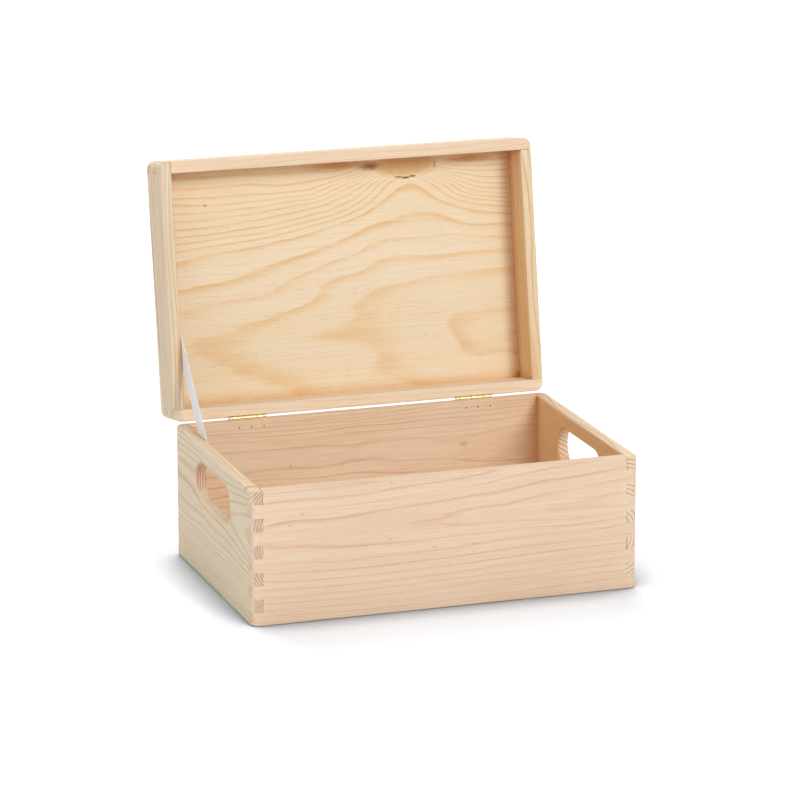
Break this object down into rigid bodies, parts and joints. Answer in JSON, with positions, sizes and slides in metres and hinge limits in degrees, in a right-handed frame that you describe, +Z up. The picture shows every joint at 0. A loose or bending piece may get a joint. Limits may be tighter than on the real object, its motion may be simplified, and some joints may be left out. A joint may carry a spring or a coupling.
{
  "type": "hinged wooden box",
  "caption": "Finger-jointed pine box with a hinged lid held open by a strap, brass butt hinges at the back and an oval hand hole in each end.",
  "frame": {"origin": "centre of the box's footprint, on the surface it stands on", "axes": "+Z up, -Y out of the front board, +Y towards the hinges, +X towards the right end seen from the front"},
  "size_m": [0.3, 0.2695, 0.298],
  "materials": {
    "pine_board": "bare sanded pine",
    "pine_panel": "bare sanded pine with wide grain",
    "hinge_brass": "bright brass plate",
    "nail_brass": "bright brass plate",
    "pin_steel": "drawn wire",
    "strap_tape": "woven tape",
    "tack_steel": "smooth"
  },
  "bodies": {
    "box": {"front_board": "pine_board", "back_board": "pine_board", "left_end_board": "pine_board", "right_end_board": "pine_board", "bottom_panel": "pine_panel", "left_hinge_box_leaf": "hinge_brass", "left_hinge_pin": "pin_steel", "left_hinge_box_nails": "nail_brass", "right_hinge_box_leaf": "hinge_brass", "right_hinge_pin": "pin_steel", "right_hinge_box_nails": "nail_brass", "lid_strap": "strap_tape", "strap_lower_tack": "tack_steel"},
    "lid": {"lid_front_rail": "pine_board", "lid_back_rail": "pine_board", "lid_left_rail": "pine_board", "lid_right_rail": "pine_board", "lid_panel": "pine_panel", "left_hinge_lid_leaf": "hinge_brass", "right_hinge_lid_leaf": "hinge_brass", "left_hinge_lid_nails": "nail_brass", "right_hinge_lid_nails": "nail_brass", "strap_upper_tack": "tack_steel"}
  },
  "joints": [
    {"name": "lid_hinge", "type": "hinge", "parent": "box", "child": "lid", "pos_m": [0, 0.0999, 0.10215], "axis": [1, 0, 0], "range_deg": [0, 99.7], "deforming": ["lid_strap"]}
  ]
}
